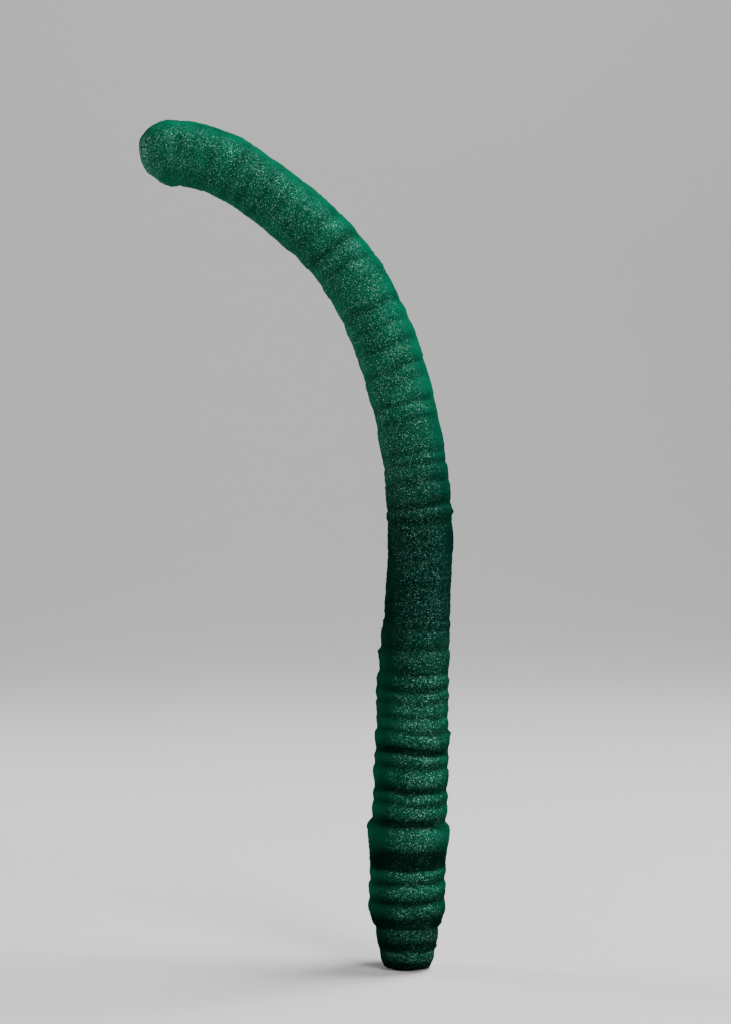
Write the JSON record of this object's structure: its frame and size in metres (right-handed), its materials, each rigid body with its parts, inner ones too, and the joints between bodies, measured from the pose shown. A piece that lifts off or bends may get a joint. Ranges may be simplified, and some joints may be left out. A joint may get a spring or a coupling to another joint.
{
  "type": "soft plastic worm",
  "caption": "Slender soft plastic fishing worm: blunt ringed nose, raised collar, smooth saddle, and a finely ringed tail that arches to one side. It flexes at its grooves.",
  "frame": {"origin": "centre of the flat face on the blunt nose, which the worm stands on", "axes": "+Z from the nose face up the straight head, +Y the thin direction square to the arch, the tail arches towards -X"},
  "size_m": [0.05, 0.0128, 0.1341],
  "materials": {
    "soft_plastic": "matte salted soft vinyl with fine pale glitter, slightly oily"
  },
  "bodies": {
    "nose": {"nose": "soft_plastic"},
    "neck_ring": {"neck_ring": "soft_plastic"},
    "collar": {"collar": "soft_plastic"},
    "head_ring_1": {"head_ring_1": "soft_plastic"},
    "head_ring_2": {"head_ring_2": "soft_plastic"},
    "head_ring_3": {"head_ring_3": "soft_plastic"},
    "head_ring_4": {"head_ring_4": "soft_plastic"},
    "head_ring_5": {"head_ring_5": "soft_plastic"},
    "saddle_1": {"saddle_1": "soft_plastic"},
    "saddle_2": {"saddle_2": "soft_plastic"},
    "saddle_3": {"saddle_3": "soft_plastic"},
    "saddle_4": {"saddle_4": "soft_plastic"},
    "tail_ring_01": {"tail_ring_01": "soft_plastic"},
    "tail_ring_02": {"tail_ring_02": "soft_plastic"},
    "tail_ring_03": {"tail_ring_03": "soft_plastic"},
    "tail_ring_04": {"tail_ring_04": "soft_plastic"},
    "tail_ring_05": {"tail_ring_05": "soft_plastic"},
    "tail_ring_06": {"tail_ring_06": "soft_plastic"},
    "tail_ring_07": {"tail_ring_07": "soft_plastic"},
    "tail_ring_08": {"tail_ring_08": "soft_plastic"},
    "tail_ring_09": {"tail_ring_09": "soft_plastic"},
    "tail_ring_10": {"tail_ring_10": "soft_plastic"},
    "tail_ring_11": {"tail_ring_11": "soft_plastic"},
    "tail_ring_12": {"tail_ring_12": "soft_plastic"},
    "tail_ring_13": {"tail_ring_13": "soft_plastic"},
    "tail_ring_14": {"tail_ring_14": "soft_plastic"},
    "tail_ring_15": {"tail_ring_15": "soft_plastic"},
    "tail_ring_16": {"tail_ring_16": "soft_plastic"},
    "tail_tip": {"tail_tip": "soft_plastic"}
  },
  "joints": [
    {"name": "neck_ring_curl", "type": "hinge", "parent": "nose", "child": "neck_ring", "pos_m": [0, 0, 0.0135], "axis": [0, -1, 0], "range_deg": [-15, 15], "stiffness_Nm_per_rad": 0.103, "springref_deg": -0.43},
    {"name": "collar_sway", "type": "hinge", "parent": "neck_ring", "child": "collar", "pos_m": [0.00015, 0, 0.0187], "axis": [0.999, 0, -0.0445], "range_deg": [-15, 15], "stiffness_Nm_per_rad": 0.065},
    {"name": "head_ring_1_curl", "type": "hinge", "parent": "collar", "child": "head_ring_1", "pos_m": [0.00044, 0, 0.02569], "axis": [0, -1, 0], "range_deg": [-15, 15], "stiffness_Nm_per_rad": 0.085, "springref_deg": -0.56},
    {"name": "head_ring_2_sway", "type": "hinge", "parent": "head_ring_1", "child": "head_ring_2", "pos_m": [0.00062, 0, 0.03049], "axis": [0.9993, 0, -0.0363], "range_deg": [-15, 15], "stiffness_Nm_per_rad": 0.082},
    {"name": "head_ring_3_curl", "type": "hinge", "parent": "head_ring_2", "child": "head_ring_3", "pos_m": [0.00082, 0, 0.03638], "axis": [0, -1, 0], "range_deg": [-15, 15], "stiffness_Nm_per_rad": 0.087, "springref_deg": -0.57},
    {"name": "head_ring_4_sway", "type": "hinge", "parent": "head_ring_3", "child": "head_ring_4", "pos_m": [0.001, 0, 0.04208], "axis": [0.9995, 0, -0.0327], "range_deg": [-15, 15], "stiffness_Nm_per_rad": 0.071},
    {"name": "head_ring_5_curl", "type": "hinge", "parent": "head_ring_4", "child": "head_ring_5", "pos_m": [0.00115, 0, 0.04628], "axis": [0, -1, 0], "range_deg": [-15, 15], "stiffness_Nm_per_rad": 0.084, "springref_deg": -0.62},
    {"name": "saddle_1_sway", "type": "hinge", "parent": "head_ring_5", "child": "saddle_1", "pos_m": [0.00143, 0, 0.05267], "axis": [0.9989, 0, -0.0478], "range_deg": [-12, 12], "stiffness_Nm_per_rad": 0.075},
    {"name": "saddle_2_curl", "type": "hinge", "parent": "saddle_1", "child": "saddle_2", "pos_m": [0.00168, 0, 0.05762], "axis": [0, -1, 0], "range_deg": [-12, 12], "stiffness_Nm_per_rad": 0.07, "springref_deg": -0.77},
    {"name": "saddle_3_sway", "type": "hinge", "parent": "saddle_2", "child": "saddle_3", "pos_m": [0.00197, 0, 0.06256], "axis": [0.9985, 0, -0.0542], "range_deg": [-12, 12], "stiffness_Nm_per_rad": 0.081},
    {"name": "saddle_4_curl", "type": "hinge", "parent": "saddle_3", "child": "saddle_4", "pos_m": [0.0021, 0, 0.06751], "axis": [0, -1, 0], "range_deg": [-12, 12], "stiffness_Nm_per_rad": 0.081, "springref_deg": -0.69},
    {"name": "tail_ring_01_sway", "type": "hinge", "parent": "saddle_4", "child": "tail_ring_01", "pos_m": [0.00195, 0, 0.07245], "axis": [0.9983, 0, 0.0586], "range_deg": [-14, 14], "stiffness_Nm_per_rad": 0.063},
    {"name": "tail_ring_02_curl", "type": "hinge", "parent": "tail_ring_01", "child": "tail_ring_02", "pos_m": [0.00134, 0, 0.07882], "axis": [0, -1, 0], "range_deg": [-14, 14], "stiffness_Nm_per_rad": 0.055, "springref_deg": -0.97},
    {"name": "tail_ring_03_sway", "type": "hinge", "parent": "tail_ring_02", "child": "tail_ring_03", "pos_m": [0.00067, 0, 0.08317], "axis": [0.9847, 0, 0.1743], "range_deg": [-14, 14], "stiffness_Nm_per_rad": 0.058},
    {"name": "tail_ring_04_curl", "type": "hinge", "parent": "tail_ring_03", "child": "tail_ring_04", "pos_m": [-0.00035, 0, 0.08817], "axis": [0, -1, 0], "range_deg": [-14, 14], "stiffness_Nm_per_rad": 0.066, "springref_deg": -0.73},
    {"name": "tail_ring_05_sway", "type": "hinge", "parent": "tail_ring_04", "child": "tail_ring_05", "pos_m": [-0.00105, 0, 0.09098], "axis": [0.9669, 0, 0.2552], "range_deg": [-14, 14], "stiffness_Nm_per_rad": 0.069},
    {"name": "tail_ring_06_curl", "type": "hinge", "parent": "tail_ring_05", "child": "tail_ring_06", "pos_m": [-0.0027, 0, 0.09644], "axis": [0, -1, 0], "range_deg": [-14, 14], "stiffness_Nm_per_rad": 0.069, "springref_deg": -0.6},
    {"name": "tail_ring_07_sway", "type": "hinge", "parent": "tail_ring_06", "child": "tail_ring_07", "pos_m": [-0.00402, 0, 0.1], "axis": [0.9281, 0, 0.3724], "range_deg": [-14, 14], "stiffness_Nm_per_rad": 0.066},
    {"name": "tail_ring_08_curl", "type": "hinge", "parent": "tail_ring_07", "child": "tail_ring_08", "pos_m": [-0.00662, 0, 0.10574], "axis": [0, -1, 0], "range_deg": [-14, 14], "stiffness_Nm_per_rad": 0.062, "springref_deg": -0.52},
    {"name": "tail_ring_09_sway", "type": "hinge", "parent": "tail_ring_08", "child": "tail_ring_09", "pos_m": [-0.00892, 0, 0.1096], "axis": [0.8283, 0, 0.5603], "range_deg": [-14, 14], "stiffness_Nm_per_rad": 0.058},
    {"name": "tail_ring_10_curl", "type": "hinge", "parent": "tail_ring_09", "child": "tail_ring_10", "pos_m": [-0.01088, 0, 0.11225], "axis": [0, -1, 0], "range_deg": [-14, 14], "stiffness_Nm_per_rad": 0.069, "springref_deg": -0.35},
    {"name": "tail_ring_11_sway", "type": "hinge", "parent": "tail_ring_10", "child": "tail_ring_11", "pos_m": [-0.01327, 0, 0.11494], "axis": [0.7159, 0, 0.6982], "range_deg": [-14, 14], "stiffness_Nm_per_rad": 0.069},
    {"name": "tail_ring_12_curl", "type": "hinge", "parent": "tail_ring_11", "child": "tail_ring_12", "pos_m": [-0.0164, 0, 0.11789], "axis": [0, -1, 0], "range_deg": [-14, 14], "stiffness_Nm_per_rad": 0.069, "springref_deg": -0.23},
    {"name": "tail_ring_13_sway", "type": "hinge", "parent": "tail_ring_12", "child": "tail_ring_13", "pos_m": [-0.01939, 0, 0.1204], "axis": [0.6246, 0, 0.781], "range_deg": [-14, 14], "stiffness_Nm_per_rad": 0.069},
    {"name": "tail_ring_14_curl", "type": "hinge", "parent": "tail_ring_13", "child": "tail_ring_14", "pos_m": [-0.02413, 0, 0.12391], "axis": [0, -1, 0], "range_deg": [-14, 14], "stiffness_Nm_per_rad": 0.064, "springref_deg": -0.11},
    {"name": "tail_ring_15_sway", "type": "hinge", "parent": "tail_ring_14", "child": "tail_ring_15", "pos_m": [-0.02905, 0, 0.12697], "axis": [0.4519, 0, 0.8921], "range_deg": [-14, 14], "stiffness_Nm_per_rad": 0.053},
    {"name": "tail_ring_16_curl", "type": "hinge", "parent": "tail_ring_15", "child": "tail_ring_16", "pos_m": [-0.03317, 0, 0.12847], "axis": [0, -1, 0], "range_deg": [-14, 14], "stiffness_Nm_per_rad": 0.061, "springref_deg": -0.02},
    {"name": "tail_tip_sway", "type": "hinge", "parent": "tail_ring_16", "child": "tail_tip", "pos_m": [-0.03614, 0, 0.12892], "axis": [0.0688, 0, 0.9976], "range_deg": [-14, 14], "stiffness_Nm_per_rad": 0.069}
  ]
}
